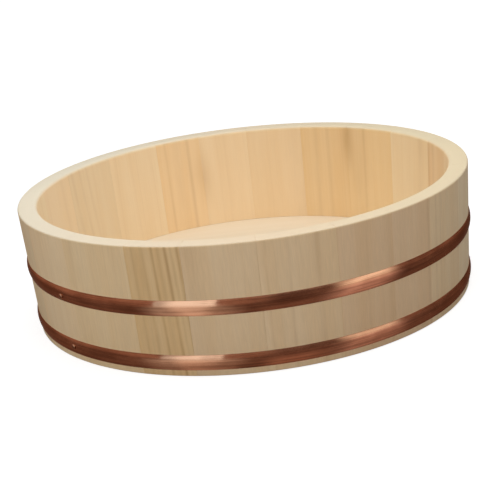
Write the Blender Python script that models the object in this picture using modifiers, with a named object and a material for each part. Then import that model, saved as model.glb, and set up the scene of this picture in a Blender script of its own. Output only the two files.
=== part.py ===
"""Sushi rice tub: a shallow round tub of upright wooden staves round a boarded floor,
bound by two copper hoops.

Run it with: blender --background --python part.py
Lengths are in metres and +Z is up. The tub stands on z = 0 with its axis on Z.
"""

import math

import bmesh
import bpy
from mathutils import Matrix

# The tub as a whole: it widens a little from foot to rim.
TUB_HEIGHT = 0.0900
RIM_RADIUS = 0.1650
FOOT_RADIUS = 0.1608
WALL_THICKNESS = 0.0141
EDGE_CHAMFER = 0.0010
INNER_RIM_CHAMFER = 0.0020

# Staves: widths are taken round the outside of the rim, anticlockwise from the first seam,
# and share out the whole circle between them.
STAVE_WIDTHS = (
    0.0562, 0.0504, 0.0461, 0.0510, 0.0446, 0.0418, 0.0513, 0.0553, 0.0524, 0.0441, 0.0490,
    0.0504, 0.0547, 0.0389, 0.0487, 0.0521, 0.0420, 0.0372, 0.0449, 0.0380, 0.0464, 0.0415,
)
FIRST_SEAM_ANGLE = math.radians(16.3)
SEAM_GAP = 0.0003

# Floor: boards side by side along X, held all round in a groove inside the staves.
FLOOR_UNDERSIDE = 0.0038
FLOOR_THICKNESS = 0.0087
GROOVE_DEPTH = 0.0042
FLOOR_GAP = 0.0003
BOARD_WIDTHS = (0.0720, 0.0790, 0.0760, 0.0740)
BOARD_GAP = 0.0003

# Bamboo pins: one across each stave seam, and two across each joint of the floor.
STAVE_PIN_RADIUS = 0.0012
STAVE_PIN_LENGTH = 0.0140
STAVE_PIN_HEIGHT = 0.0300
FLOOR_PIN_RADIUS = 0.0014
FLOOR_PIN_LENGTH = 0.0220
FLOOR_PIN_SPACING = 0.1200
PIN_GAP = 0.0003
PIN_SIDES = 8

# Hoops: copper strips with a round crown, which follow the taper of the staves.
HOOP_WIDTH = 0.0106
HOOP_EDGE_THICKNESS = 0.0003
HOOP_CROWN_THICKNESS = 0.0011
HOOP_GAP = 0.0003
LOWER_HOOP_BOTTOM = 0.0044
UPPER_HOOP_BOTTOM = 0.0425
HOOP_CROWN_FLATS = 6

# Nails: each hoop is nailed to one stave in front and one behind. A nail's rise is its
# height over the hoop's lower edge, and its share is how far across its stave it stands.
NAIL_HEAD_RADIUS = 0.0018
NAIL_HEAD_HEIGHT = 0.0008
NAIL_SHANK_RADIUS = 0.0006
NAIL_SHANK_LENGTH = 0.0080
NAIL_POINT_LENGTH = 0.0012
NAIL_GAP = 0.0003
NAIL_SIDES = 10
NAIL_DOME_FLATS = 3
FRONT_NAIL_STAVE = "stave_12"
BACK_NAIL_STAVE = "stave_02"
LOWER_NAIL_RISE = 0.0053
UPPER_NAIL_RISE = 0.0038
LOWER_NAIL_SHARE = 0.815
UPPER_NAIL_SHARE = 0.742
BACK_NAIL_SHARE = 0.50

# Round stretches are made of flats no wider than this.
FACET_ANGLE = math.radians(4.0)
SHARP_ANGLE = math.radians(30.0)
MERGE_DISTANCE = 0.00001

# Finishes: linear colour, roughness and metallic value.
FINISHES = {
    "stave_timber": ((0.72, 0.51, 0.29), 0.60, 0.0),
    "floor_timber": ((0.78, 0.58, 0.36), 0.60, 0.0),
    "bamboo": ((0.62, 0.47, 0.22), 0.50, 0.0),
    "hoop_copper": ((0.50, 0.17, 0.08), 0.30, 1.0),
    "nail_copper": ((0.46, 0.20, 0.12), 0.35, 1.0),
}

TAPER_ANGLE = math.atan2(RIM_RADIUS - FOOT_RADIUS, TUB_HEIGHT)
FLOOR_TOP = FLOOR_UNDERSIDE + FLOOR_THICKNESS
FLOOR_MIDDLE = FLOOR_UNDERSIDE + FLOOR_THICKNESS / 2
HOOP_FLATS = round(2 * math.pi / FACET_ANGLE)


def outer_radius(height):
    """Outside radius of the staves at a height."""
    return FOOT_RADIUS + (RIM_RADIUS - FOOT_RADIUS) * height / TUB_HEIGHT


def inner_radius(height):
    """Inside radius of the staves at a height."""
    return outer_radius(height) - WALL_THICKNESS


def middle_radius(height):
    """Radius of the middle of the wall at a height."""
    return outer_radius(height) - WALL_THICKNESS / 2


GROOVE_RADIUS = inner_radius(FLOOR_MIDDLE) + GROOVE_DEPTH
FLOOR_RADIUS = GROOVE_RADIUS * math.cos(FACET_ANGLE / 2) - FLOOR_GAP


def stave_angles():
    """Angle that each stave takes of the circle."""
    return [2 * math.pi * width / sum(STAVE_WIDTHS) for width in STAVE_WIDTHS]


def seam_angles():
    """Angle at which each stave begins."""
    seams = [FIRST_SEAM_ANGLE]
    for angle in stave_angles()[:-1]:
        seams.append(seams[-1] + angle)
    return seams


def board_joints():
    """Y of each edge of the floor's boards, from the front of the floor to its back."""
    edges = [-FLOOR_RADIUS]
    for width in BOARD_WIDTHS:
        edges.append(edges[-1] + 2 * FLOOR_RADIUS * width / sum(BOARD_WIDTHS))
    return edges


def clear_scene():
    for old in list(bpy.data.objects):
        bpy.data.objects.remove(old, do_unlink=True)


def new_collection(name):
    collection = bpy.data.collections.new(name)
    bpy.context.scene.collection.children.link(collection)
    return collection


def new_material(name):
    colour, roughness, metallic = FINISHES[name]
    material = bpy.data.materials.new(name)
    material.use_nodes = True
    shader = material.node_tree.nodes["Principled BSDF"]
    shader.inputs["Base Color"].default_value = (*colour, 1.0)
    shader.inputs["Roughness"].default_value = roughness
    shader.inputs["Metallic"].default_value = metallic
    material.diffuse_color = (*colour, 1.0)
    return material


class Tub:
    """The collections, the materials and the empty that carries every piece."""

    def __init__(self):
        self.pieces = new_collection("sushi_rice_tub")
        self.cutters = new_collection("cutters")
        self.materials = {name: new_material(name) for name in FINISHES}
        self.axis = bpy.data.objects.new("tub_axis", None)
        self.pieces.objects.link(self.axis)

    def finished(self, mesh, finish):
        """Give a mesh its material and smooth shading."""
        mesh.materials.append(self.materials[finish])
        mesh.shade_smooth()
        mesh.set_sharp_from_angle(angle=SHARP_ANGLE)
        return mesh

    def place(self, name, mesh, collection, location, rotation):
        placed = bpy.data.objects.new(name, mesh)
        placed.location = location
        placed.rotation_euler = rotation
        placed.parent = self.axis
        collection.objects.link(placed)
        return placed

    def add_piece(self, name, mesh, location=(0, 0, 0), rotation=(0, 0, 0)):
        return self.place(name, mesh, self.pieces, location, rotation)

    def add_cutter(self, name, mesh, location, rotation):
        cutter = self.place(name, mesh, self.cutters, location, rotation)
        cutter.hide_render = True
        cutter.display_type = "WIRE"
        return cutter


def mesh_from(shape, name):
    """Turn a bmesh into a named mesh with its faces pointing out."""
    bmesh.ops.recalc_face_normals(shape, faces=shape.faces)
    mesh = bpy.data.meshes.new(name)
    shape.to_mesh(mesh)
    shape.free()
    return mesh


def rod_mesh(name, radius, length, sides):
    """A rod along Z, centred on the origin."""
    shape = bmesh.new()
    bmesh.ops.create_cone(
        shape, cap_ends=True, segments=sides, radius1=radius, radius2=radius, depth=length)
    return mesh_from(shape, name)


def profile_mesh(name, points, closed):
    """A line through points given as radius and height, at +X of the axis it is turned on."""
    shape = bmesh.new()
    corners = [shape.verts.new((radius, 0, height)) for radius, height in points]
    for first, second in zip(corners, corners[1:]):
        shape.edges.new((first, second))
    if closed:
        shape.edges.new((corners[-1], corners[0]))
    mesh = bpy.data.meshes.new(name)
    shape.to_mesh(mesh)
    shape.free()
    return mesh


def add_turning(piece, flats):
    """Turn a profile once round Z."""
    screw = piece.modifiers.new("turning", "SCREW")
    screw.axis = "Z"
    screw.angle = 2 * math.pi
    screw.steps = flats
    screw.render_steps = flats
    screw.use_merge_vertices = True
    screw.merge_threshold = MERGE_DISTANCE
    screw.use_smooth_shade = True


def cut(piece, cutter):
    """Cut a cutter's shape out of a piece."""
    boolean = piece.modifiers.new(cutter.name, "BOOLEAN")
    boolean.operation = "DIFFERENCE"
    boolean.solver = "EXACT"
    boolean.object = cutter


def pin_and_hole_meshes(tub, name, radius, length):
    """The mesh that every bamboo pin of a size shares, and the mesh of the holes cut for them."""
    pin = tub.finished(rod_mesh(name, radius, length, PIN_SIDES), "bamboo")
    hole = rod_mesh(f"{name}_hole", radius + PIN_GAP, length + 2 * PIN_GAP, PIN_SIDES)
    return pin, hole


def stave_outline():
    """Cross-section of a stave as radius and height: up the outside and down the inside."""
    groove_low = FLOOR_UNDERSIDE - FLOOR_GAP
    groove_high = FLOOR_TOP + FLOOR_GAP
    shoulder = TUB_HEIGHT - EDGE_CHAMFER
    inner_shoulder = TUB_HEIGHT - INNER_RIM_CHAMFER
    return [
        (outer_radius(0) - EDGE_CHAMFER, 0),
        (outer_radius(EDGE_CHAMFER), EDGE_CHAMFER),
        (outer_radius(shoulder), shoulder),
        (outer_radius(TUB_HEIGHT) - EDGE_CHAMFER, TUB_HEIGHT),
        (inner_radius(TUB_HEIGHT) + INNER_RIM_CHAMFER, TUB_HEIGHT),
        (inner_radius(inner_shoulder), inner_shoulder),
        (inner_radius(groove_high), groove_high),
        (GROOVE_RADIUS, groove_high),
        (GROOVE_RADIUS, groove_low),
        (inner_radius(groove_low), groove_low),
        (inner_radius(EDGE_CHAMFER), EDGE_CHAMFER),
        (inner_radius(0) + EDGE_CHAMFER, 0),
    ]


def stave_mesh(name, angle):
    """A stave's cross-section swept round Z from +X, with half the seam gap left at each side."""
    gap_angle = SEAM_GAP / inner_radius(0)
    sweep = angle - gap_angle
    shape = bmesh.new()
    corners = [shape.verts.new((radius, 0, height)) for radius, height in stave_outline()]
    shape.faces.new(corners)
    bmesh.ops.rotate(shape, verts=shape.verts, matrix=Matrix.Rotation(gap_angle / 2, 3, "Z"))
    bmesh.ops.spin(
        shape, geom=shape.verts[:] + shape.edges[:] + shape.faces[:], axis=(0, 0, 1),
        cent=(0, 0, 0), angle=sweep, steps=math.ceil(angle / FACET_ANGLE))
    return mesh_from(shape, name)


def stave_names():
    return [f"stave_{number:02d}" for number in range(1, len(STAVE_WIDTHS) + 1)]


def add_staves(tub):
    staves = []
    for name, seam, angle in zip(stave_names(), seam_angles(), stave_angles()):
        mesh = tub.finished(stave_mesh(name, angle), "stave_timber")
        staves.append(tub.add_piece(name, mesh, rotation=(0, 0, seam)))
    return staves


def add_stave_pins(tub, staves):
    """Pin each stave to the one before it, square across the seam in the middle of the wall."""
    pin, hole = pin_and_hole_meshes(tub, "stave_pin", STAVE_PIN_RADIUS, STAVE_PIN_LENGTH)
    radius = middle_radius(STAVE_PIN_HEIGHT)
    for index, seam in enumerate(seam_angles()):
        name = f"stave_pin_{index + 1:02d}"
        location = (radius * math.cos(seam), radius * math.sin(seam), STAVE_PIN_HEIGHT)
        rotation = (math.pi / 2, 0, seam)
        tub.add_piece(name, pin, location, rotation)
        cutter = tub.add_cutter(f"{name}_hole", hole, location, rotation)
        cut(staves[index - 1], cutter)
        cut(staves[index], cutter)


def board_mesh(name, front, back):
    """A slice of the floor's disc between two lines along X."""
    shape = bmesh.new()
    bmesh.ops.create_circle(shape, cap_ends=True, segments=HOOP_FLATS, radius=FLOOR_RADIUS)
    for line, direction in ((front + BOARD_GAP / 2, -1), (back - BOARD_GAP / 2, 1)):
        if abs(line) < FLOOR_RADIUS - BOARD_GAP:
            bmesh.ops.bisect_plane(
                shape, geom=shape.verts[:] + shape.edges[:] + shape.faces[:],
                plane_co=(0, line, 0), plane_no=(0, direction, 0), clear_outer=True)
    face = bmesh.ops.extrude_face_region(shape, geom=shape.faces[:])
    top = [item for item in face["geom"] if isinstance(item, bmesh.types.BMVert)]
    bmesh.ops.translate(shape, verts=top, vec=(0, 0, FLOOR_THICKNESS))
    return mesh_from(shape, name)


def add_floor(tub):
    boards = []
    edges = board_joints()
    for number, (front, back) in enumerate(zip(edges, edges[1:]), start=1):
        name = f"floor_board_{number}"
        mesh = tub.finished(board_mesh(name, front, back), "floor_timber")
        boards.append(tub.add_piece(name, mesh, location=(0, 0, FLOOR_UNDERSIDE)))
    return boards


def add_floor_pins(tub, boards):
    """Pin neighbouring boards together with two pins along Y, in the middle of the thickness."""
    pin, hole = pin_and_hole_meshes(tub, "floor_pin", FLOOR_PIN_RADIUS, FLOOR_PIN_LENGTH)
    rotation = (math.pi / 2, 0, 0)
    number = 0
    for front_board, back_board, joint in zip(boards, boards[1:], board_joints()[1:-1]):
        for side in (-1, 1):
            number += 1
            name = f"floor_pin_{number}"
            location = (side * FLOOR_PIN_SPACING / 2, joint, FLOOR_MIDDLE)
            tub.add_piece(name, pin, location, rotation)
            cutter = tub.add_cutter(f"{name}_hole", hole, location, rotation)
            cut(front_board, cutter)
            cut(back_board, cutter)


def hoop_outline(bottom):
    """Section of a hoop as radius and height: down its crowned face and up its flat back."""
    clear = 1 / math.cos(math.pi / HOOP_FLATS)
    crown = HOOP_CROWN_THICKNESS - HOOP_EDGE_THICKNESS
    points = []
    for step in range(HOOP_CROWN_FLATS + 1):
        across = 1 - 2 * step / HOOP_CROWN_FLATS
        height = bottom + HOOP_WIDTH * (1 + across) / 2
        thickness = HOOP_EDGE_THICKNESS + crown * (1 - across ** 2)
        points.append(((outer_radius(height) + HOOP_GAP) * clear + thickness, height))
    for height in (bottom, bottom + HOOP_WIDTH):
        points.append(((outer_radius(height) + HOOP_GAP) * clear, height))
    return points


def add_hoop(tub, name, bottom):
    mesh = tub.finished(profile_mesh(name, hoop_outline(bottom), True), "hoop_copper")
    hoop = tub.add_piece(name, mesh)
    add_turning(hoop, HOOP_FLATS)
    return hoop


def nail_outline():
    """Half of a nail as radius and height, from the top of its dome to its point."""
    points = []
    for step in range(NAIL_DOME_FLATS + 1):
        turn = math.pi / 2 * step / NAIL_DOME_FLATS
        points.append((NAIL_HEAD_RADIUS * math.sin(turn), NAIL_HEAD_HEIGHT * math.cos(turn)))
    points.append((NAIL_SHANK_RADIUS, 0))
    points.append((NAIL_SHANK_RADIUS, NAIL_POINT_LENGTH - NAIL_SHANK_LENGTH))
    points.append((0, -NAIL_SHANK_LENGTH))
    return points


def nail_and_hole_meshes(tub):
    """The mesh that every nail shares, and the mesh of the holes cut for them."""
    nail = tub.finished(profile_mesh("hoop_nail", nail_outline(), False), "nail_copper")
    depth = NAIL_SHANK_LENGTH + NAIL_GAP
    hole = rod_mesh("hoop_nail_hole", NAIL_SHANK_RADIUS + NAIL_GAP, 2 * depth, NAIL_SIDES)
    return nail, hole


def add_hoops(tub, staves):
    """Nail each hoop to its staves, square to the wall, with the heads on the hoop's crown."""
    nail_mesh, hole_mesh = nail_and_hole_meshes(tub)
    for level, bottom, rise, front_share in (
        ("lower", LOWER_HOOP_BOTTOM, LOWER_NAIL_RISE, LOWER_NAIL_SHARE),
        ("upper", UPPER_HOOP_BOTTOM, UPPER_NAIL_RISE, UPPER_NAIL_SHARE),
    ):
        hoop = add_hoop(tub, f"{level}_hoop", bottom)
        height = bottom + rise
        seat = outer_radius(height) + HOOP_GAP + HOOP_CROWN_THICKNESS + NAIL_GAP
        for side, stave_name, share in (
            ("front", FRONT_NAIL_STAVE, front_share),
            ("back", BACK_NAIL_STAVE, BACK_NAIL_SHARE),
        ):
            index = stave_names().index(stave_name)
            azimuth = seam_angles()[index] + share * stave_angles()[index]
            location = (seat * math.cos(azimuth), seat * math.sin(azimuth), height)
            rotation = (0, math.pi / 2 + TAPER_ANGLE, azimuth)
            name = f"{level}_hoop_{side}_nail"
            nail = tub.add_piece(name, nail_mesh, location, rotation)
            add_turning(nail, NAIL_SIDES)
            cutter = tub.add_cutter(f"{name}_hole", hole_mesh, location, rotation)
            cut(hoop, cutter)
            cut(staves[index], cutter)


def main():
    clear_scene()
    tub = Tub()
    staves = add_staves(tub)
    add_stave_pins(tub, staves)
    boards = add_floor(tub)
    add_floor_pins(tub, boards)
    add_hoops(tub, staves)


main()
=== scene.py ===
import math
import random

import bmesh
import bpy
from bpy.props import FloatProperty, FloatVectorProperty, PointerProperty
from mathutils import Matrix, Vector


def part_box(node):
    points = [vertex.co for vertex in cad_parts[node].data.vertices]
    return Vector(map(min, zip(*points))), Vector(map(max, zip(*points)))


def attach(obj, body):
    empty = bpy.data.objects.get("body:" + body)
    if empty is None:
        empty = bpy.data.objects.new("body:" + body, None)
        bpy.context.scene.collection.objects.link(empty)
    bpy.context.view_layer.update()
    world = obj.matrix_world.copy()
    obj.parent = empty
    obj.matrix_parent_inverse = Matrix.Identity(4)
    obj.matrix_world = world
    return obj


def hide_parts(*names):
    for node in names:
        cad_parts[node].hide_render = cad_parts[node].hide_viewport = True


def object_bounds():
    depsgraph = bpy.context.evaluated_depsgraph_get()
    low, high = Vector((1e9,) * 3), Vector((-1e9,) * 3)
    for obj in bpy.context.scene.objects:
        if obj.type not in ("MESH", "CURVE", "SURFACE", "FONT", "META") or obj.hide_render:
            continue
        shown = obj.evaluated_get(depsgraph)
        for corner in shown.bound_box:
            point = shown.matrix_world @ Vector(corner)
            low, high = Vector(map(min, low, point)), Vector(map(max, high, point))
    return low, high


bl_info = {
    "name": "Sushi Rice Tub",
    "version": (1, 0, 0),
    "blender": (4, 5, 0),
    "location": "View3D > Sidebar > Rice Tub",
    "description": "Planed staves, floor boards, copper hoops, nails and bamboo pins of a rice tub",
    "category": "Object",
}

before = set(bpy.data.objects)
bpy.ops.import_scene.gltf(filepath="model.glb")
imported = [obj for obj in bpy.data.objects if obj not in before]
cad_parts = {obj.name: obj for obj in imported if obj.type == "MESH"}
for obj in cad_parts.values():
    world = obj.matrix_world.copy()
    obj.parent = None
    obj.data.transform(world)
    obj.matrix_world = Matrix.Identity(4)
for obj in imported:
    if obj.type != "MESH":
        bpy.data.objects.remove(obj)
CAD_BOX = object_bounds()

# The tub as packed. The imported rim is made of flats, and the round one stays inside them.
HEIGHT = CAD_BOX[1].z
RIM_RADIUS = min(abs(side) for corner in CAD_BOX for side in corner.xy)
TAPER = 0.0042
WALL = 0.0141
STAVES = range(1, 23)
BOARDS = range(1, 5)
FLOOR_PINS = range(1, 7)
SHARP_ANGLE = math.radians(30)
X_AXIS = Vector((1, 0, 0))
Y_AXIS = Vector((0, 1, 0))
UP = Vector((0, 0, 1))

# What the photograph shows of single staves: the tint and warmth of the wood, its darker
# streaks and its dark patch. A streak has its place across the outside of the stave from its
# middle, anticlockwise, its width, its depth and its lean. A patch has its place, its height,
# its width, its length up the stave and its depth.
SEEN_STAVES = {
    1: {"tint": (0.955, 0.96, 0.93), "warmth": 0.10, "streaks": ((-0.0130, 0.0040, 0.10, 0.0),)},
    2: {"tint": (0.98, 0.98, 0.93), "warmth": 0.50,
        "patch": (0.0230, 0.080, 0.0050, 0.022, 0.40),
        "streaks": ((0.0140, 0.0120, 0.14, 0.0), (0.0065, 0.0012, 0.12, 0.0))},
    3: {"tint": (0.963, 0.961, 0.93), "warmth": 0.64,
        "patch": (-0.0210, 0.080, 0.0050, 0.022, 0.40),
        "streaks": ((0.0080, 0.0022, 0.12, 0.0), (-0.0030, 0.0016, 0.12, 0.0))},
    4: {"warmth": 0.32, "streaks": ((-0.0200, 0.0080, 0.11, 0.0),)},
    5: {"warmth": 0.18, "patch": (0.0193, 0.055, 0.0060, 0.017, 0.20)},
    6: {"tint": (1.045, 1.055, 1.075), "warmth": 0.55,
        "patch": (-0.0201, 0.055, 0.0090, 0.017, 0.20),
        "streaks": ((0.0110, 0.0012, 0.14, 0.0), (-0.0085, 0.0016, 0.20, 0.0),
                    (0.0010, 0.0050, 0.08, 0.0))},
    7: {"tint": (1.00, 1.01, 1.01), "warmth": 0.12},
    8: {"tint": (0.962, 0.989, 1.01), "warmth": 0.12,
        "streaks": ((0.0200, 0.0018, 0.10, 0.06), (0.0100, 0.0012, 0.10, 0.06),
                    (0.0015, 0.0014, 0.10, 0.06))},
    9: {"tint": (1.02, 1.04, 1.07), "warmth": 0.05},
    10: {"tint": (1.017, 1.064, 1.10), "warmth": 0.10},
    11: {"tint": (0.965, 0.97, 0.975)},
    12: {"tint": (1.05, 1.05, 1.07), "warmth": 0.15},
    13: {"tint": (1.01, 1.00, 0.98), "warmth": 0.18,
         "streaks": ((-0.0196, 0.0012, 0.08, 0.02), (0.0190, 0.0065, 0.10, 0.0))},
    14: {"tint": (0.97, 0.96, 0.93), "warmth": 0.62, "streaks": (
        (0.0005, 0.0010, 0.50, -0.025), (0.0097, 0.0011, 0.55, -0.025),
        (0.0178, 0.0010, 0.50, -0.025), (0.0048, 0.0018, 0.22, -0.025),
        (0.0138, 0.0010, 0.20, -0.025), (-0.0065, 0.0012, 0.20, -0.025),
        (-0.0140, 0.0010, 0.18, -0.025), (-0.0110, 0.0070, 0.11, -0.025))},
    15: {"tint": (0.955, 0.93, 0.935), "warmth": 0.15,
         "streaks": ((-0.0195, 0.0075, 0.15, 0.0),)},
    16: {"tint": (0.98, 0.965, 0.99), "warmth": 0.22,
         "streaks": ((-0.0209, 0.0009, 0.10, 0.0), (-0.0065, 0.0012, 0.14, 0.0),
                     (0.0126, 0.0020, 0.18, 0.0))},
    17: {"tint": (0.93, 0.866, 0.857), "warmth": 0.15},
    18: {"tint": (0.99, 0.95, 0.98), "warmth": 0.18,
         "streaks": ((0.0165, 0.0012, 0.14, 0.0), (-0.0150, 0.0110, 0.09, 0.0))},
    19: {"tint": (1.04, 1.04, 1.06), "warmth": 0.15,
         "streaks": ((-0.0150, 0.0010, 0.12, 0.0), (-0.0090, 0.0012, 0.10, 0.0))},
    20: {"tint": (1.09, 1.15, 1.25), "warmth": 0.10},
    21: {"tint": (0.965, 0.975, 0.99)},
    22: {"tint": (0.93, 0.91, 0.90), "warmth": 0.35,
         "streaks": ((0.0185, 0.0028, 0.30, 0.0), (0.0095, 0.0030, 0.14, 0.0))},
}

# Each set of attributes carries three streaks, so a piece has nine at most.
STREAK_SETS = 3

# The inside of the tub is painted paler and cooler than the outside, most of all low down: painted
# light that lifts the shade and the warm bounce light inside the tub. The inside wood is also scraped
# smoother. A texture is the strength of the soft bands, the fine threads and the fibres, whose relief
# grows with their strength.
INSIDE_LIGHT_LIFT = {"foot": (1.046, 1.106, 1.208), "rim": (0.976, 0.993, 1.028)}
TEXTURES = {"outside": (0.13, 0.036, 0.045), "inside": (0.10, 0.014, 0.014)}
FIBRE_RELIEF = 14

# The sanded rim is painted with light: a painted sheen makes it whitest at the left, and painted
# shade makes it duller at the right and dullest at the back. Its tints are given by the direction
# from the tub's axis, and blend into each face over a height of their own.
RIM_SHEEN_AND_SHADE = {
    (-1, 0): (0.99, 1.10, 1.22),
    (1, 0): (0.91, 0.95, 0.91),
    (0, 1): (0.86, 0.90, 0.93),
}
RIM_BLENDS = {"outside": 0.0012, "inside": 0.0026}


def srgb(red, green, blue):
    """Linear colour of one given in 8-bit sRGB."""
    shares = (value / 255 for value in (red, green, blue))
    return tuple(s / 12.92 if s <= 0.04045 else ((s + 0.055) / 1.055) ** 2.4 for s in shares)


def size_of(name, description, default):
    """A length that the user may change."""
    return FloatProperty(
        name=name, description=description, default=default, min=0, unit="LENGTH", precision=5)


def colour_of(name, description, default):
    """A colour that the user may change."""
    return FloatVectorProperty(
        name=name, description=description, default=default, min=0, max=1, subtype="COLOR")


class StaveSettings(bpy.types.PropertyGroup):
    outer_round: size_of("Outer round", "Radius of the rim's outer edge", 0.0013)
    inner_round: size_of("Inner round", "Radius of the rim's inner edge", 0.0027)
    foot_round: size_of("Foot round", "Radius of the foot's rounded edges", 0.0008)
    seam_gap: size_of("Seam gap", "Joint left between two staves", 0.00003)
    seam_chamfer: size_of("Seam chamfer", "Edge broken off at each seam", 0.00010)
    pale: colour_of("Pale wood", "Colour of the early wood", srgb(243, 215, 173))
    warm: colour_of("Warm wood", "Colour of the warmer bands", srgb(232, 191, 133))
    line: colour_of("Ring lines", "Colour of the late wood", srgb(184, 140, 90))
    end: colour_of("End grain", "Colour of the sanded rim and foot", srgb(238, 217, 186))


class FloorSettings(bpy.types.PropertyGroup):
    joint_gap: size_of("Joint gap", "Joint left between two boards", 0.00005)
    joint_chamfer: size_of("Joint chamfer", "Edge broken off at each joint", 0.00015)
    pale: colour_of("Pale wood", "Colour of the early wood", srgb(230, 212, 184))
    warm: colour_of("Warm wood", "Colour of the warmer bands", srgb(225, 204, 168))
    line: colour_of("Ring lines", "Colour of the late wood", srgb(195, 160, 116))
    end: colour_of("End grain", "Colour of the boards' ends", srgb(221, 194, 154))


class HoopSettings(bpy.types.PropertyGroup):
    crown: size_of("Crown", "Thickness in the middle of the strip", 0.00135)
    edge: size_of("Edge", "Thickness at the strip's edges", 0.00015)
    fit: size_of("Fit", "Gap between a hoop and the staves", 0.00005)
    copper: colour_of("Copper", "Colour of the bright copper", (0.74, 0.405, 0.255))
    dull: colour_of("Dull copper", "Colour of the darker streaks", (0.46, 0.225, 0.130))
    glance: colour_of("Glance", "Tint of the copper seen along its face", (0.70, 0.45, 0.33))
    roughness: FloatProperty(
        name="Roughness", description="How blurred the copper's reflections are",
        default=0.16, min=0.05, max=0.9)


class NailSettings(bpy.types.PropertyGroup):
    head_radius: size_of("Head radius", "Radius of a nail's head", 0.0019)
    head_height: size_of("Head height", "Height of the dome", 0.0009)
    shank_radius: size_of("Shank radius", "Radius of a nail's shank", 0.0006)
    point_length: size_of("Point length", "Length of the nail's point", 0.0012)
    copper: colour_of("Copper", "Colour of the nails", (0.50, 0.28, 0.18))


class PinSettings(bpy.types.PropertyGroup):
    stave_pin_radius: size_of("Stave pin radius", "Radius of the pins in the wall", 0.0012)
    floor_pin_radius: size_of("Floor pin radius", "Radius of the pins in the floor", 0.0014)
    fit: size_of("Fit", "Gap between a pin and its hole", 0.0001)
    end_chamfer: size_of("End chamfer", "Edge broken off at a pin's ends", 0.0003)
    bamboo: colour_of("Bamboo", "Colour of the bamboo", srgb(214, 190, 130))
    fibre: colour_of("Fibres", "Colour of the bamboo's dark fibres", srgb(150, 118, 66))


class StageSettings(bpy.types.PropertyGroup):
    lens: FloatProperty(
        name="Lens", description="Focal length in millimetres", default=94.87, min=1)
    distance: size_of("Distance", "From the aim point to the camera", 0.98850)
    aim_height: size_of("Aim height", "Height of the point looked at", 0.03172)
    elevation: FloatProperty(
        name="Elevation", description="Height of the camera over the horizon",
        default=math.radians(17.67), subtype="ANGLE")
    roll: FloatProperty(
        name="Roll", description="Tilt of the camera about its line of sight",
        default=math.radians(-6.5), subtype="ANGLE")
    sky: FloatProperty(
        name="Sky", description="Light from all round, where 1 is white", default=0.375, min=0)
    overhead: FloatProperty(
        name="Overhead", description="Power of the soft lamp overhead in watts", default=1.75,
        min=0)
    front: FloatProperty(
        name="Front", description="Power of the soft lamp at the front left in watts",
        default=5.5, min=0)


class TubSettings(bpy.types.PropertyGroup):
    staves: PointerProperty(type=StaveSettings)
    floor: PointerProperty(type=FloorSettings)
    hoops: PointerProperty(type=HoopSettings)
    nails: PointerProperty(type=NailSettings)
    pins: PointerProperty(type=PinSettings)
    stage: PointerProperty(type=StageSettings)


def outer_radius(height):
    """Outside radius of the wall at a height."""
    return RIM_RADIUS - TAPER * (1 - height / HEIGHT)


def inner_radius(height):
    """Inside radius of the wall at a height."""
    return outer_radius(height) - WALL


def face_at(place):
    """Face of the wall, outside or inside, that a place is nearer to."""
    middle = outer_radius(place.z) - WALL / 2
    return "inside" if place.xy.length < middle else "outside"


def around(angle, radius=1.0, height=0.0):
    """The point at an angle and a radius about the tub's axis."""
    return Vector((radius * math.cos(angle), radius * math.sin(angle), height))


def turned_to(direction):
    """The turn that brings +Z to a direction."""
    return direction.to_track_quat("Z", "Y").to_matrix().to_4x4()


def middle_of(node):
    """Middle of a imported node."""
    low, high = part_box(node)
    return (low + high) / 2


def corners_of(node):
    """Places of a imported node's corners."""
    return [vertex.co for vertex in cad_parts[node].data.vertices]


def floor_radius():
    """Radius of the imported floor's round edge."""
    return max(corner.xy.length for corner in corners_of("floor_board_2"))


def stave_pin(seam):
    """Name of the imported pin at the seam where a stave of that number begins."""
    return f"stave_pin_{(seam - 1) % len(STAVES) + 1:02d}"


def seam_angle(seam):
    """Angle of the seam where a stave of that number begins."""
    middle = middle_of(stave_pin(seam))
    return math.atan2(middle.y, middle.x)


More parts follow.
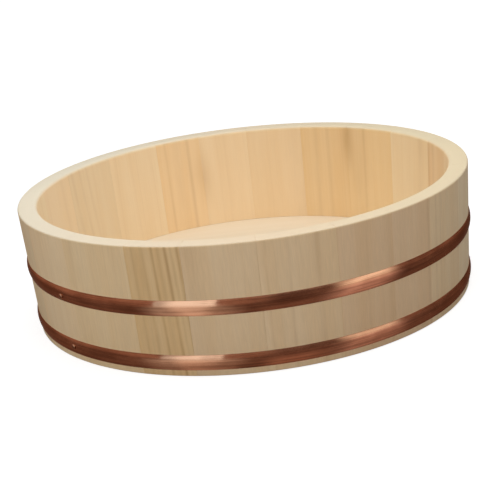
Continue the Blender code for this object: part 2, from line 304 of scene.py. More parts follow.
class Shader:
    """The nodes of a material or of a world, with a short call for each kind."""

    def __init__(self, name, blocks=bpy.data.materials):
        self.block = blocks.new(name)
        self.block.use_nodes = True
        self.tree = self.block.node_tree
        self.tree.nodes.clear()

    def add(self, kind, inputs=None, **choices):
        """Add a node with its inputs fed and its choices made."""
        node = self.tree.nodes.new(f"ShaderNode{kind}")
        for choice, value in choices.items():
            setattr(node, choice, value)
        for socket, value in (inputs or {}).items():
            self.feed(node.inputs[socket], value)
        return node

    def feed(self, socket, value):
        """Link another socket to this one, or set its value."""
        if isinstance(value, bpy.types.NodeSocket):
            self.tree.links.new(value, socket)
        elif socket.type == "RGBA" and len(value) == 3:
            socket.default_value = (*value, 1)
        else:
            socket.default_value = value

    def attribute(self, name):
        return self.add("Attribute", attribute_name=name).outputs

    def math(self, operation, *values, clamp=False):
        inputs = dict(enumerate(values))
        return self.add("Math", inputs, operation=operation, use_clamp=clamp).outputs[0]

    def vector(self, operation, *values):
        return self.add("VectorMath", dict(enumerate(values)), operation=operation).outputs[0]

    def scalar(self, operation, *values):
        """A vector operation whose answer is one number."""
        inputs = dict(enumerate(values))
        return self.add("VectorMath", inputs, operation=operation).outputs["Value"]

    def scale(self, vector, factor):
        return self.add("VectorMath", {0: vector, "Scale": factor}, operation="SCALE").outputs[0]

    def split(self, vector):
        return self.add("SeparateXYZ", {0: vector}).outputs[:]

    def noise(self, place, stretch, detail=2.0, roughness=0.5):
        """Noise with so many waves to the metre along each axis."""
        inputs = {
            "Vector": self.vector("MULTIPLY", place, stretch),
            "Scale": 1.0, "Detail": detail, "Roughness": roughness}
        return self.add("TexNoise", inputs).outputs["Fac"]

    def line_noise(self, place, waves):
        """Noise along one number, with so many waves to the metre."""
        inputs = {"W": self.math("MULTIPLY", place, waves), "Scale": 1.0}
        return self.add("TexNoise", inputs, noise_dimensions="1D").outputs["Fac"]

    def chance(self, number):
        """A random number from 0 to 1 that goes with a whole one."""
        return self.add("TexWhiteNoise", {"W": number}, noise_dimensions="1D").outputs["Value"]

    def remap(self, value, low, high, new_low, new_high):
        """A smooth step from one value to another."""
        inputs = {0: value, 1: low, 2: high, 3: new_low, 4: new_high}
        return self.add("MapRange", inputs, interpolation_type="SMOOTHSTEP").outputs[0]

    def mix(self, share, first, second):
        inputs = {0: share, 6: first, 7: second}
        return self.add("Mix", inputs, data_type="RGBA").outputs[2]

    def ramp(self, value, stops):
        node = self.add("ValToRGB", {0: value})
        elements = node.color_ramp.elements
        while len(elements) < len(stops):
            elements.new(0.5)
        for element, (place, colour) in zip(elements, stops):
            element.position = place
            element.color = (*colour, 1)
        return node.outputs["Color"]

    def bump(self, height, distance, strength, normal=None):
        inputs = {"Height": height, "Distance": distance, "Strength": strength}
        if normal is not None:
            inputs["Normal"] = normal
        return self.add("Bump", inputs).outputs["Normal"]

    def principled(self, **inputs):
        """Close the tree with a Principled shader and return the material."""
        named = {name.replace("_", " "): value for name, value in inputs.items()}
        return self.close(self.add("BsdfPrincipled", named).outputs[0])

    def close(self, surface, output="OutputMaterial"):
        """Lead a surface to the output and return the finished material or world."""
        self.add(output, {"Surface": surface})
        return self.block


def growth_rings(wood, log, figure, spacing):
    """Thin late-wood lines at the growth rings, some stronger than others."""
    wander, unevenness = 0.006, 0.008
    radius = wood.scalar("LENGTH", wood.vector("MULTIPLY", log, (1, 1, 0)))
    radius = wood.math("MULTIPLY_ADD", wood.noise(log, (28, 28, 7)), wander, radius)
    radius = wood.math("MULTIPLY_ADD", wood.line_noise(radius, 60), unevenness, radius)
    rings = wood.math("DIVIDE", radius, spacing)
    # Across a ring the wood darkens slowly and quickly turns pale again.
    late = wood.ramp(wood.math("FRACT", rings), [(place, 3 * (dark,)) for place, dark in (
        (0.0, 0.45), (0.10, 0.0), (0.50, 0.06), (0.85, 0.75), (0.93, 1.0), (1.0, 0.45))])
    vigour = wood.remap(wood.chance(wood.math("FLOOR", rings)), 0.2, 1.0, 0.15, 1.0)
    return wood.math("MULTIPLY", wood.math("MULTIPLY", late, vigour), figure)


def bell(wood, distance):
    """1 at no distance, falling to nothing within a few units."""
    return wood.math("EXPONENT", wood.math("MULTIPLY", wood.math("MULTIPLY", distance, distance), -1))


def dark_marks(wood, log):
    """The dark streaks of a piece, which waver and fade along the grain, and its dark patch."""
    waver = wood.math("SUBTRACT", wood.noise(log, (60, 60, 16)), 0.5)
    total = 0.0
    for group in range(STREAK_SETS):
        offsets = wood.split(wood.vector("ADD", wood.attribute(f"streaks_{group}")["Vector"], waver))
        bells = {axis: bell(wood, offset) for axis, offset in enumerate(offsets)}
        bells = wood.add("CombineXYZ", bells).outputs[0]
        depths = wood.attribute(f"depths_{group}")["Vector"]
        total = wood.math("ADD", wood.scalar("DOT_PRODUCT", bells, depths), total)
    fading = wood.remap(wood.noise(log, (90, 90, 22)), 0.25, 0.65, 0.45, 1.15)
    side, height, depth = wood.split(wood.attribute("patch")["Vector"])
    patch = wood.math("MULTIPLY", bell(wood, side), bell(wood, wood.math("ADD", height, waver)))
    return wood.math("MULTIPLY_ADD", total, fading, wood.math("MULTIPLY", patch, depth))


def timber_material(name, look, grain_axis):
    """Planed softwood: rings about a pith, soft bands, streaks, fibres and paler end grain."""
    wood = Shader(name)
    log = wood.attribute("log")["Vector"]
    warmth, figure, spacing = wood.split(wood.attribute("grain")["Vector"])
    banding, threading, fibres = wood.split(wood.attribute("texture")["Vector"])

    bands = wood.remap(wood.noise(log, (90, 90, 6), detail=3), 0.3, 0.7, -1, 1)
    share = wood.math("MULTIPLY_ADD", bands, banding, warmth, clamp=True)
    colour = wood.mix(share, look.pale, look.warm)
    rings = growth_rings(wood, log, figure, spacing)
    threads = wood.remap(wood.noise(log, (420, 420, 9)), 0.52, 0.75, 0, 1)
    rings = wood.math("MULTIPLY_ADD", threads, threading, rings)
    marks = wood.math("ADD", rings, dark_marks(wood, log), clamp=True)
    colour = wood.mix(marks, colour, look.line)

    facing = wood.add("NewGeometry").outputs["Normal"]
    facing = wood.math("ABSOLUTE", wood.scalar("DOT_PRODUCT", facing, grain_axis))
    colour = wood.mix(wood.remap(facing, 0.45, 0.8, 0.0, 0.93), colour, look.end)
    fibre = wood.noise(log, (1500, 1500, 45), detail=3, roughness=0.65)
    shade = wood.math("MULTIPLY_ADD", wood.remap(fibre, 0.2, 0.8, -1, 1), fibres, 1)
    colour = wood.scale(colour, shade)
    # The tint holds each plank's own tone, and also painted light: a lift inside the tub and sheen
    # and shade on the rim.
    colour = wood.vector("MULTIPLY", colour, wood.attribute("tint")["Vector"])

    relief = wood.math("MULTIPLY_ADD", marks, -0.8, fibre)
    return wood.principled(
        Base_Color=colour,
        Roughness=wood.remap(fibre, 0.2, 0.8, 0.52, 0.68),
        Specular_IOR_Level=0.3,
        Normal=wood.bump(relief, 0.00006, wood.math("MULTIPLY", fibres, FIBRE_RELIEF)),
    )


def hoop_material(settings):
    """Drawn copper under a thin clear lacquer, with fine lines that run round the hoop."""
    copper = Shader("hoop_copper")
    place = copper.add("TexCoord").outputs["Object"]
    lines = copper.noise(place, (22, 22, 2600), detail=3)
    broad = copper.noise(place, (14, 14, 600))
    clouds = copper.noise(place, (45, 45, 90), detail=3)
    total = copper.math("ADD", broad, copper.math("ADD", lines, clouds))
    dents = copper.bump(copper.noise(place, (60, 60, 60), detail=1), 0.00015, 0.15)
    spread = 0.03
    low, high = settings.roughness - spread, settings.roughness + spread
    return copper.principled(
        Base_Color=copper.mix(
            copper.remap(total, 1.3, 1.75, 0.0, 1.0), settings.copper, settings.dull),
        Metallic=1.0,
        Specular_Tint=settings.glance,
        Roughness=copper.remap(lines, 0.25, 0.75, low, high),
        Anisotropic=1.0,
        Anisotropic_Rotation=0.25,
        Coat_Weight=0.5,
        Coat_Roughness=0.15,
        Normal=copper.bump(lines, 0.00001, 0.6, dents),
        Tangent=copper.add("Tangent", direction_type="RADIAL", axis="Z").outputs[0],
    )


def nail_material(settings):
    """Copper nails, a little browner than the hoops."""
    copper = Shader("nail_copper")
    place = copper.add("TexCoord").outputs["Object"]
    pits = copper.noise(place, 3 * (1800,))
    shade = 0.55
    brown = tuple(shade * value for value in settings.copper)
    return copper.principled(
        Base_Color=copper.mix(copper.remap(pits, 0.4, 0.8, 0.0, 0.8), settings.copper, brown),
        Metallic=1.0,
        Roughness=copper.remap(pits, 0.3, 0.7, 0.15, 0.25),
        Normal=copper.bump(pits, 0.00004, 0.5),
    )


def bamboo_material(settings):
    """Split bamboo: long pale fibres with dark threads, which show as dots at the ends."""
    bamboo = Shader("bamboo")
    log = bamboo.attribute("log")["Vector"]
    threads = bamboo.noise(log, (2600, 2600, 60))
    dark = bamboo.remap(threads, 0.52, 0.68, 0.0, 0.8)
    return bamboo.principled(
        Base_Color=bamboo.mix(dark, settings.bamboo, settings.fibre),
        Roughness=bamboo.remap(threads, 0.3, 0.7, 0.4, 0.55),
        Normal=bamboo.bump(threads, 0.00005, 0.4),
    )


class Plank:
    """How one piece of timber was sawn from its log, and how its figure looks."""

    def __init__(self, seed, warmth=0.18, figure=0.06, seen=None):
        draw = random.Random(seed)
        pith_angle = draw.choice((0, math.pi)) + draw.uniform(-0.6, 0.6)
        self.pith = around(pith_angle, draw.uniform(0.07, 0.17))
        self.lean = draw.uniform(-0.02, 0.02)
        self.shift = draw.uniform(1, 40)
        self.tint = 3 * (draw.uniform(0.985, 1.005),)
        self.warmth = warmth + draw.uniform(-0.08, 0.08)
        self.figure = figure * draw.uniform(0.5, 1.2)
        self.spacing = draw.uniform(0.0018, 0.0032)
        self.streaks = [
            (draw.uniform(-0.02, 0.02), draw.uniform(0.0008, 0.0025), draw.uniform(0, 0.07), 0)
            for _ in range(3)]
        self.patch = (0, 0, 1, 1, 0)
        for trait, value in (seen or {}).items():
            setattr(self, trait, value)

    def mark(self, mesh, origin, across, through, along):
        """Write the plank's place in its log and its figure on a mesh's vertices."""
        count = 3 * STREAK_SETS
        no_streak = (0, 1, 0, 0)
        streaks = (list(self.streaks) + count * [no_streak])[:count]
        patch_side, patch_height, patch_width, patch_length, patch_depth = self.patch
        log, patch, offsets = [], [], []
        for vertex in mesh.vertices:
            place = vertex.co - origin
            side, deep, height = place.dot(across), place.dot(through), place.dot(along)
            log.append((
                side - self.lean * height - self.pith.x, deep - self.pith.y, height + self.shift))
            patch.append((
                (side - patch_side) / patch_width,
                (vertex.co.z - patch_height) / patch_length, patch_depth))
            offsets.append([
                (side - spot - lean * height) / width for spot, width, _, lean in streaks])
        depths = [depth for _, _, depth, _ in streaks]
        write_attribute(mesh, "log", log)
        write_attribute(mesh, "grain", len(log) * [(self.warmth, self.figure, self.spacing)])
        # The tint written here carries painted light, the inside's paler lift and the rim's sheen and
        # shade, over each plank's own tone.
        write_attribute(mesh, "tint", [self.tint_at(vertex.co) for vertex in mesh.vertices])
        write_attribute(mesh, "texture", [TEXTURES[face_at(vertex.co)] for vertex in mesh.vertices])
        write_attribute(mesh, "patch", patch)
        for group in range(STREAK_SETS):
            three = slice(3 * group, 3 * group + 3)
            write_attribute(mesh, f"streaks_{group}", [row[three] for row in offsets])
            write_attribute(mesh, f"depths_{group}", len(offsets) * [depths[three]])

    def tint_at(self, place):
        """Tint of the wood at a place on the plank, with painted light on the inside and, near its
        top, the rim's painted sheen and shade.
        """
        plain = Vector((1, 1, 1))
        face = face_at(place)
        own = Vector(self.tint)
        # Painted light: the inside is lifted paler and cooler, most at the foot, against its shade.
        if face == "inside":
            foot, top = (Vector(INSIDE_LIGHT_LIFT[end]) for end in ("foot", "rim"))
            own *= foot.lerp(top, place.z / HEIGHT)
        # Near its top the wood takes the rim's painted sheen at the left and painted shade at the
        # right and back.
        rim = plain.copy()
        for direction, full in RIM_SHEEN_AND_SHADE.items():
            share = max(place.xy.normalized().dot(Vector(direction)), 0)
            rim *= plain.lerp(Vector(full), share)
        return own.lerp(rim, max(1 - (HEIGHT - place.z) / RIM_BLENDS[face], 0))


def write_attribute(mesh, name, rows):
    """Write a row of three numbers on each vertex."""
    numbers = [number for row in rows for number in row]
    mesh.attributes.new(name, "FLOAT_VECTOR", "POINT").data.foreach_set("vector", numbers)


def mesh_of(shape, name):
    """Turn a finished bmesh into a smooth mesh with its faces pointing out."""
    bmesh.ops.recalc_face_normals(shape, faces=shape.faces)
    mesh = bpy.data.meshes.new(name)
    shape.to_mesh(mesh)
    shape.free()
    mesh.shade_smooth()
    mesh.set_sharp_from_angle(angle=SHARP_ANGLE)
    return mesh


def add_piece(mesh, material, node):
    """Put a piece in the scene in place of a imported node."""
    mesh.materials.append(material)
    piece = bpy.data.objects.new(mesh.name, mesh)
    bpy.context.scene.collection.objects.link(piece)
    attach(piece, "root")
    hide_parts(node)


def everything(shape):
    """All vertices, edges and faces of a shape."""
    return shape.verts[:] + shape.edges[:] + shape.faces[:]


def vertices_in(geometry):
    """The vertices in what an operator returns."""
    return [item for item in geometry if isinstance(item, bmesh.types.BMVert)]


def draw_outline(shape, points, closed=True):
    """A line at +X through points given as radius and height."""
    corners = [shape.verts.new((radius, 0, height)) for radius, height in points]
    following = corners[1:] + corners[:1] if closed else corners[1:]
    for first, second in zip(corners, following):
        shape.edges.new((first, second))
    return corners


def turn_outline(shape, steps):
    """Turn the line drawn at +X once round the vertical axis."""
    bmesh.ops.spin(
        shape, geom=everything(shape), axis=UP, cent=(0, 0, 0), angle=math.tau, steps=steps,
        use_merge=True)


def drill(shape, face, spots, radius, depth):
    """Bore blind holes into a flat face, square to it, opposite the given spots.

    The face is taken away and filled again round the mouths of the holes.
    """
    inward = -face.normal
    corner = face.verts[0].co.copy()
    turn = turned_to(inward)
    rims = face.edges[:]
    bmesh.ops.delete(shape, geom=[face], context="FACES_ONLY")
    for spot in spots:
        mouth = Matrix.Translation(spot - inward * (spot - corner).dot(inward))
        ring = bmesh.ops.create_circle(
            shape, cap_ends=False, segments=24, radius=radius, matrix=mouth @ turn)
        rim = list({edge for vertex in ring["verts"] for edge in vertex.link_edges})
        bottom = vertices_in(bmesh.ops.extrude_edge_only(shape, edges=rim)["geom"])
        bmesh.ops.translate(shape, verts=bottom, vec=inward * depth)
        bmesh.ops.contextual_create(shape, geom=bottom)
        rims += rim
    bmesh.ops.triangle_fill(shape, use_beauty=True, edges=rims)


def finish_joints(shape, faces, chamfer, pins, radius):
    """Break the edges of a piece's joint faces and drill each for the pins that cross it."""
    bmesh.ops.inset_individual(
        shape, faces=faces, thickness=chamfer, depth=chamfer, use_even_offset=True)
    for face in faces:
        corner = face.verts[0].co
        crossing = [
            pin for pin in pins if abs((middle_of(pin) - corner).dot(face.normal)) < radius]
        middles = [middle_of(pin) for pin in crossing]
        half_pin = max((corner - middles[0]).length for corner in corners_of(crossing[0]))
        drill(shape, face, middles, radius, half_pin)


class TUB_OT_staves(bpy.types.Operator):
    """Shape the staves of the wall, rounded at rim and foot and grooved for the floor"""
    bl_idname = "tub.staves"
    bl_label = "Staves"

    def execute(self, context):
        settings = context.scene.rice_tub.staves
        pins = context.scene.rice_tub.pins
        material = timber_material("stave_timber", settings, UP)
        for number in STAVES:
            mesh = self.stave_mesh(number, settings, pins.stave_pin_radius + pins.fit)
            add_piece(mesh, material, f"stave_{number:02d}")
        return {"FINISHED"}

    def stave_mesh(self, number, settings, hole_radius):
        start = seam_angle(number)
        sweep = (seam_angle(number + 1) - start) % math.tau
        spare = (settings.seam_gap / 2 + settings.seam_chamfer) / inner_radius(HEIGHT)
        shape = bmesh.new()
        self.draw_section(shape, settings)
        bmesh.ops.rotate(shape, verts=shape.verts, matrix=Matrix.Rotation(start + spare, 3, "Z"))
        bmesh.ops.spin(
            shape, geom=everything(shape), axis=UP, cent=(0, 0, 0), angle=sweep - 2 * spare,
            steps=math.ceil(math.degrees(sweep)))
        bmesh.ops.recalc_face_normals(shape, faces=shape.faces)
        seams = [face for face in shape.faces if len(face.verts) > 4]
        finish_joints(
            shape, seams, settings.seam_chamfer, (stave_pin(number), stave_pin(number + 1)),
            hole_radius)
        mesh = mesh_of(shape, f"planed_stave_{number:02d}")
        outward = around(start + sweep / 2)
        plank = Plank(number, seen=SEEN_STAVES.get(number))
        plank.mark(mesh, outward * RIM_RADIUS + UP * HEIGHT, UP.cross(outward), outward, UP)
        return mesh

    def draw_section(self, shape, settings):
        """Draw a stave's cross-section at +X as one face, up the outside and down the inside."""
        floor_low, floor_high = (corner.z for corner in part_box("floor_board_2"))
        groove = floor_radius()
        corners = draw_outline(shape, (
            (outer_radius(0), 0),
            (outer_radius(HEIGHT), HEIGHT),
            (inner_radius(HEIGHT), HEIGHT),
            (inner_radius(floor_high), floor_high),
            (groove, floor_high),
            (groove, floor_low),
            (inner_radius(floor_low), floor_low),
            (inner_radius(0), 0),
        ))
        shape.faces.new(corners)
        for corner, radius in (
            (corners[0], settings.foot_round), (corners[1], settings.outer_round),
            (corners[2], settings.inner_round), (corners[-1], settings.foot_round),
        ):
            bmesh.ops.bevel(
                shape, geom=[corner], offset=radius, offset_type="OFFSET", segments=5,
                profile=0.5, affect="VERTICES", material=-1)


class TUB_OT_floor(bpy.types.Operator):
    """Shape the floor boards, with holes in their joints for the pins"""
    bl_idname = "tub.floor"
    bl_label = "Floor boards"

    groove_gap = 0.0001

    def execute(self, context):
        settings = context.scene.rice_tub.floor
        pins = context.scene.rice_tub.pins
        material = timber_material("floor_timber", settings, X_AXIS)
        for number in BOARDS:
            mesh = self.board_mesh(number, settings, pins.floor_pin_radius + pins.fit)
            add_piece(mesh, material, f"floor_board_{number}")
        return {"FINISHED"}

    def board_mesh(self, number, settings, hole_radius):
        low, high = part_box(f"floor_board_{number}")
        spare = settings.joint_gap / 2 + settings.joint_chamfer
        shape = bmesh.new()
        bmesh.ops.create_circle(
            shape, cap_ends=True, segments=180, radius=floor_radius() - self.groove_gap)
        for neighbour, outward in ((number - 1, -1), (number + 1, 1)):
            if neighbour in BOARDS:
                joint = self.joint_between(number, neighbour)
                bmesh.ops.bisect_plane(
                    shape, geom=everything(shape), clear_outer=True,
                    plane_co=(0, joint - outward * spare, 0), plane_no=(0, outward, 0))
        top = vertices_in(bmesh.ops.extrude_face_region(shape, geom=shape.faces[:])["geom"])
        thickness = high.z - low.z - 2 * self.groove_gap
        bmesh.ops.translate(shape, verts=top, vec=UP * thickness)
        bmesh.ops.translate(shape, verts=shape.verts, vec=UP * (low.z + self.groove_gap))
        bmesh.ops.recalc_face_normals(shape, faces=shape.faces)
        # The round edge has small faces that may point the same way as a joint.
        joints = [
            face for face in shape.faces
            if abs(face.normal.y) > 0.999 and face.calc_area() > thickness ** 2]
        finish_joints(
            shape, joints, settings.joint_chamfer,
            [f"floor_pin_{pin}" for pin in FLOOR_PINS], hole_radius)
        mesh = mesh_of(shape, f"planed_board_{number}")
        plank = Plank(100 + number, warmth=0.3, figure=0.12)
        plank.mark(mesh, Vector((0, (low.y + high.y) / 2, high.z)), Y_AXIS, UP, X_AXIS)
        return mesh

    def joint_between(self, number, neighbour):
        """Y of the joint between two boards."""
        first, second = sorted((number, neighbour))
        return (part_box(f"floor_board_{first}")[1].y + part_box(f"floor_board_{second}")[0].y) / 2


class TUB_OT_hoops(bpy.types.Operator):
    """Shape the two copper hoops, crowned strips that follow the wall's taper"""
    bl_idname = "tub.hoops"
    bl_label = "Hoops"

    def execute(self, context):
        settings = context.scene.rice_tub.hoops
        material = hoop_material(settings)
        for level in ("lower", "upper"):
            node = f"{level}_hoop"
            low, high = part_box(node)
            shape = bmesh.new()
            draw_outline(shape, self.section(low.z, high.z, settings))
            turn_outline(shape, steps=360)
            add_piece(mesh_of(shape, f"{level}_copper_hoop"), material, node)
        return {"FINISHED"}

    def section(self, bottom, top, settings, flats=16):
        """Section of a hoop as radius and height: down its round face and up its flat back."""
        half = (top - bottom) / 2
        rise = settings.crown - settings.edge
        arc_radius = (half ** 2 + rise ** 2) / (2 * rise)
        tilt = math.asin(half / arc_radius)
        points = []
        for step in range(flats + 1):
            turn = tilt * (1 - 2 * step / flats)
            height = bottom + half + arc_radius * math.sin(turn)
            drop = arc_radius * (1 - math.cos(turn))
            points.append((outer_radius(height) + settings.fit + settings.crown - drop, height))
        for height in (bottom, top):
            points.append((outer_radius(height) + settings.fit, height))
        return points


class TUB_OT_nails(bpy.types.Operator):
    """Shape the domed copper nails that hold the hoops"""
    bl_idname = "tub.nails"
    bl_label = "Nails"

    # A head goes on below its dome for a share of its height, to a slightly narrower underside.
    skirt = 0.3
    underside = 0.96

    def execute(self, context):
        settings = context.scene.rice_tub.nails
        material = nail_material(settings)
        for level in ("lower", "upper"):
            for side in ("front", "back"):
                node = f"{level}_hoop_{side}_nail"
                mesh = self.nail_mesh(node, settings)
                add_piece(mesh, material, node)
        return {"FINISHED"}

    def nail_mesh(self, node, settings):
        corners = corners_of(node)
        point = min(corners, key=lambda corner: corner.xy.length)
        top = max(corners, key=lambda corner: (corner - point).length)
        length = (top - point).length
        shape = bmesh.new()
        draw_outline(shape, self.half_outline(length, settings), closed=False)
        turn_outline(shape, steps=32)
        bmesh.ops.remove_doubles(shape, verts=shape.verts, dist=0.000001)
        turn = turned_to(top - point)
        bmesh.ops.transform(shape, verts=shape.verts, matrix=Matrix.Translation(top) @ turn)
        return mesh_of(shape, f"domed_{node}")

    def half_outline(self, length, settings, flats=8):
        """Half of a nail as radius and height, down from the top of its dome to its point."""
        points = []
        for step in range(flats + 1):
            turn = math.pi / 2 * step / flats
            height = settings.head_height * (math.cos(turn) - 1)
            points.append((settings.head_radius * math.sin(turn), height))
        under = -(1 + self.skirt) * settings.head_height
        points.append((self.underside * settings.head_radius, under))
        points.append((settings.shank_radius, under))
        points.append((settings.shank_radius, settings.point_length - length))
        points.append((0, -length))
        return points


class TUB_OT_pins(bpy.types.Operator):
    """Shape the bamboo pins in the seams of the wall and the joints of the floor"""
    bl_idname = "tub.pins"
    bl_label = "Bamboo pins"

    def execute(self, context):
        settings = context.scene.rice_tub.pins
        material = bamboo_material(settings)
        for seam in STAVES:
            axis = UP.cross(around(seam_angle(seam)))
            self.add_pin(stave_pin(seam), axis, settings.stave_pin_radius, settings, material)
        for number in FLOOR_PINS:
            node = f"floor_pin_{number}"
            self.add_pin(node, Y_AXIS, settings.floor_pin_radius, settings, material)
        return {"FINISHED"}

    def add_pin(self, node, axis, radius, settings, material):
        middle = middle_of(node)
        length = 2 * max((corner - middle).dot(axis) for corner in corners_of(node))
        shape = bmesh.new()
        bmesh.ops.create_cone(
            shape, cap_ends=True, segments=24, radius1=radius, radius2=radius, depth=length,
            matrix=Matrix.Translation(middle) @ turned_to(axis))
        ends = [face for face in shape.faces if len(face.verts) > 4]
        bmesh.ops.bevel(
            shape, geom=[edge for face in ends for edge in face.edges],
            offset=settings.end_chamfer, offset_type="OFFSET", segments=2, profile=0.5,
            affect="EDGES", material=-1)
        mesh = mesh_of(shape, f"round_{node}")
        side = axis.orthogonal()
        Plank(node).mark(mesh, middle, side, axis.cross(side), axis)
        add_piece(mesh, material, node)


# The parts of the studio that the copper mirrors: the dark gap between the windows, the left
# window and the right one. Each fans out from its origin between two edges, given as their
# angle, their turn close to the tub and their blur close to the tub and far from it, in degrees.
# It glows by the distance from the tub's axis, dimmed near its first edge.
MIRRORED = (
    {"origin": (0.0, -0.11, 0), "dim": 1.0,
     "edges": ((-86, 0, 12, 10), (-52, 0, 12, 8)),
     "glow": ((0.167, (0.34, 0.190, 0.140)), (0.188, (0.17, 0.095, 0.070)),
              (0.205, (0.19, 0.106, 0.078)), (0.30, (0.10, 0.056, 0.041)),
              (0.48, (0.10, 0.056, 0.041)), (0.52, (0.15, 0.084, 0.062)))},
    {"origin": (-0.004, -0.103, 0), "dim": 0.6,
     "edges": ((-140.4, -8, 9, 0.4), (-109.0, 0, 20, 0.4)),
     "glow": ((0.167, (0.42, 0.30, 0.24)), (0.175, (0.62, 0.50, 0.43)),
              (0.188, (0.96, 0.83, 0.73)), (0.205, (0.74, 0.65, 0.58)),
              (0.28, (0.72, 0.65, 0.58)), (0.48, (0.80, 0.72, 0.66)),
              (0.52, (1.20, 1.33, 1.36)))},
    {"origin": (0.020, -0.118, 0), "dim": 0.85,
     "edges": ((-49.5, 1, 14, 5), (-18.8, 7, 9, 6.5)),
     "glow": ((0.167, (0.40, 0.26, 0.22)), (0.188, (0.58, 0.39, 0.34)),
              (0.205, (0.54, 0.37, 0.33)), (0.28, (0.75, 0.53, 0.49)),
              (0.48, (0.76, 0.56, 0.48)), (0.52, (0.90, 0.70, 0.58)),
              (1.2, (1.00, 0.86, 0.72)), (1.5, (1.25, 1.22, 1.10)))},
)


class TUB_OT_stage(bpy.types.Operator):
    """Set up the floor, the lamps, the cards that the copper mirrors, and the camera"""
    bl_idname = "tub.stage"
    bl_label = "Stage"

    # The floor lies just under the tub, and the table card half as far.
    under_tub = 0.0001
    floor_grey = 0.42
    card_radius = 1.6
    card_height = 0.9
    brightest = 2.0
    brown = Vector((1.0, 0.56, 0.41))
    room_levels = ((0.17, 0.19), (0.22, 0.17), (0.48, 0.20), (0.52, 0.36))
    dimmed_span = math.radians(12)

    def execute(self, context):
        settings = context.scene.rice_tub.stage
        self.add_world(context.scene, settings)
        self.add_floor()
        self.add_lamp(
            "overhead_lamp", settings.overhead, size=0.5, place=Vector((0.055, 0, 0.55)))
        self.add_lamp("front_lamp", settings.front, size=1.0, place=Vector((-0.5, -1.3, 0.8)))
        self.add_cards()
        self.add_camera(context.scene, settings)
        return {"FINISHED"}

    def background_rays(self, shader):
        """1 for the rays that see the white background, 0 for those that carry light."""
        rays = shader.add("LightPath").outputs
        seen = shader.math("ADD", rays["Is Camera Ray"], rays["Is Glossy Ray"], clamp=True)
        return shader.math("ADD", seen, rays["Is Transmission Ray"], clamp=True)

    def add_world(self, scene, settings):
        shader = Shader("studio", bpy.data.worlds)
        level = shader.mix(self.background_rays(shader), 3 * (settings.sky,), 3 * (1.0,))
        background = shader.add("Background", {"Color": level, "Strength": 1.0})
        scene.world = shader.close(background.outputs[0], "OutputWorld")

    def add_floor(self):
        """A floor that looks white, keeps a soft shadow, and is clear from below."""
        shader = Shader("studio_floor")
        plain = shader.add("BsdfDiffuse", {"Color": 3 * (self.floor_grey,)}).outputs[0]
        place = shader.add("TexCoord").outputs["Object"]
        # It glows less close to the tub, where the lamps light it more.
        away = shader.remap(shader.scalar("LENGTH", place), 0.35, 0.9, 0.80, 0.92)
        glow = shader.add("Emission", {
            "Color": 3 * (1.0,),
            "Strength": shader.math("MULTIPLY", self.background_rays(shader), away)}).outputs[0]
        pale = shader.add("AddShader", {0: plain, 1: glow}).outputs[0]
        clear = shader.add("BsdfTransparent").outputs[0]
        under = shader.add("NewGeometry").outputs["Backfacing"]
        material = shader.close(
            shader.add("MixShader", {0: under, 1: pale, 2: clear}).outputs[0])
        shape = bmesh.new()
        bmesh.ops.create_grid(
            shape, x_segments=1, y_segments=1, size=6,
            matrix=Matrix.Translation((0, 0, -self.under_tub)))
        self.add_stage_piece(shape, "studio_floor", material)

    def add_stage_piece(self, shape, name, material):
        mesh = bpy.data.meshes.new(name)
        shape.to_mesh(mesh)
        shape.free()
        mesh.materials.append(material)
        piece = bpy.data.objects.new(name, mesh)
        bpy.context.scene.collection.objects.link(piece)
        return piece

    def add_lamp(self, name, power, size, place):
        lamp = bpy.data.lights.new(name, "AREA")
        lamp.energy = power
        lamp.shape = "SQUARE"
        lamp.size = size
        holder = bpy.data.objects.new(name, lamp)
        holder.location = place
        holder.rotation_euler = (-place).to_track_quat("-Z", "Y").to_euler()
        holder.visible_camera = False
        holder.visible_glossy = False
        bpy.context.scene.collection.objects.link(holder)

    def add_cards(self):
        """Cards that only reflections see: a dim wall and table with the light of two windows."""
        material = self.card_material()
        wall = bmesh.new()
        bmesh.ops.create_cone(
            wall, cap_ends=False, segments=64, radius1=self.card_radius,
            radius2=self.card_radius, depth=self.card_height,
            matrix=Matrix.Translation((0, 0, self.card_height / 2)))
        self.add_card(wall, "wall_card", material)
        table = bmesh.new()
        bmesh.ops.create_circle(
            table, cap_ends=True, segments=64, radius=self.card_radius,
            matrix=Matrix.Translation((0, 0, -self.under_tub / 2)))
        self.add_card(table, "table_card", material)

    def add_card(self, shape, name, material):
        card = self.add_stage_piece(shape, name, material)
        card.visible_camera = False
        card.visible_diffuse = False
        card.visible_transmission = False
        card.visible_shadow = False

    def card_material(self):
        """A brown glow, brighter at the left, with the parts that the copper mirrors over it."""
        shader = Shader("studio_cards")
        place = shader.add("TexCoord").outputs["Object"]
        room = self.glow_at(shader, place, [
            (distance, level * self.brown) for distance, level in self.room_levels])
        across = shader.split(place)[0]
        glow = shader.scale(room, shader.remap(across, -0.6, 0.6, 1.0, 0.65))
        for part in MIRRORED:
            offset = shader.vector("SUBTRACT", place, part["origin"])
            x, y, _ = shader.split(offset)
            angle = shader.math("ARCTAN2", y, x)
            away = shader.scalar("LENGTH", shader.vector("MULTIPLY", offset, (1, 1, 0)))
            opens, closes = (self.edge_at(shader, angle, away, *edge) for edge in part["edges"])
            first = math.radians(part["edges"][0][0])
            rises = shader.remap(angle, first, first + self.dimmed_span, part["dim"], 1.0)
            bright = shader.scale(self.glow_at(shader, place, part["glow"]), rises)
            glow = shader.mix(shader.math("SUBTRACT", opens, closes), glow, bright)
        return shader.close(
            shader.add("Emission", {"Color": glow, "Strength": self.brightest}).outputs[0])

    def glow_at(self, shader, place, stops):
        """Glow that changes with the distance from the tub's axis, as a share of the brightest."""
        away = shader.scalar("LENGTH", shader.vector("MULTIPLY", place, (1, 1, 0)))
        stops = [
            (distance / self.card_radius, [part / self.brightest for part in colour])
            for distance, colour in stops]
        return shader.ramp(shader.math("DIVIDE", away, self.card_radius), stops)

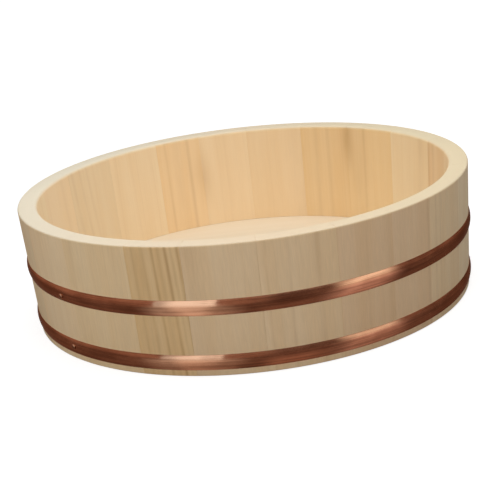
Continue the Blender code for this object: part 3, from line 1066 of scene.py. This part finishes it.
    def edge_at(self, shader, angle, away, edge, turn, near_blur, far_blur):
        """0 before an edge and 1 after it, with the edge turned and blurred close to the tub."""
        edge = shader.remap(away, 0.06, 0.45, math.radians(edge + turn), math.radians(edge))
        blur = shader.remap(away, 0.07, 0.5, math.radians(near_blur), math.radians(far_blur))
        beyond = shader.math("DIVIDE", shader.math("SUBTRACT", angle, edge), blur)
        return shader.remap(beyond, -1, 1, 0, 1)

    def add_camera(self, scene, settings):
        data = bpy.data.cameras.new("photo_camera")
        data.lens = settings.lens
        data.sensor_width = 36
        camera = bpy.data.objects.new("photo_camera", data)
        scene.collection.objects.link(camera)
        turn = Matrix.Rotation(math.pi / 2 - settings.elevation, 4, "X")
        aim = Matrix.Translation((0, 0, settings.aim_height))
        back = Matrix.Translation((0, 0, settings.distance))
        camera.matrix_world = aim @ turn @ back @ Matrix.Rotation(settings.roll, 4, "Z")
        scene.camera = camera
        scene.view_settings.view_transform = "Standard"


class TUB_PT_workshop(bpy.types.Panel):
    """Lists the tub's settings and the operators that make its pieces"""
    bl_idname = "TUB_PT_workshop"
    bl_label = "Rice Tub"
    bl_space_type = "VIEW_3D"
    bl_region_type = "UI"
    bl_category = "Rice Tub"

    def draw(self, context):
        for operator, settings in OPERATORS:
            box = self.layout.box()
            box.operator(operator.bl_idname)
            group = getattr(context.scene.rice_tub, settings)
            for name in group.__annotations__:
                box.prop(group, name)


# Each operator has the name of its group of settings.
OPERATORS = (
    (TUB_OT_staves, "staves"),
    (TUB_OT_floor, "floor"),
    (TUB_OT_hoops, "hoops"),
    (TUB_OT_nails, "nails"),
    (TUB_OT_pins, "pins"),
    (TUB_OT_stage, "stage"),
)
CLASSES = (
    StaveSettings, FloorSettings, HoopSettings, NailSettings, PinSettings, StageSettings,
    TubSettings, *(operator for operator, _ in OPERATORS), TUB_PT_workshop,
)


def register():
    for cls in CLASSES:
        bpy.utils.register_class(cls)
    bpy.types.Scene.rice_tub = PointerProperty(type=TubSettings)


def unregister():
    del bpy.types.Scene.rice_tub
    for cls in reversed(CLASSES):
        bpy.utils.unregister_class(cls)


def main():
    register()
    for _, name in OPERATORS:
        getattr(bpy.ops.tub, name)()


if __name__ == "__main__":
    main()
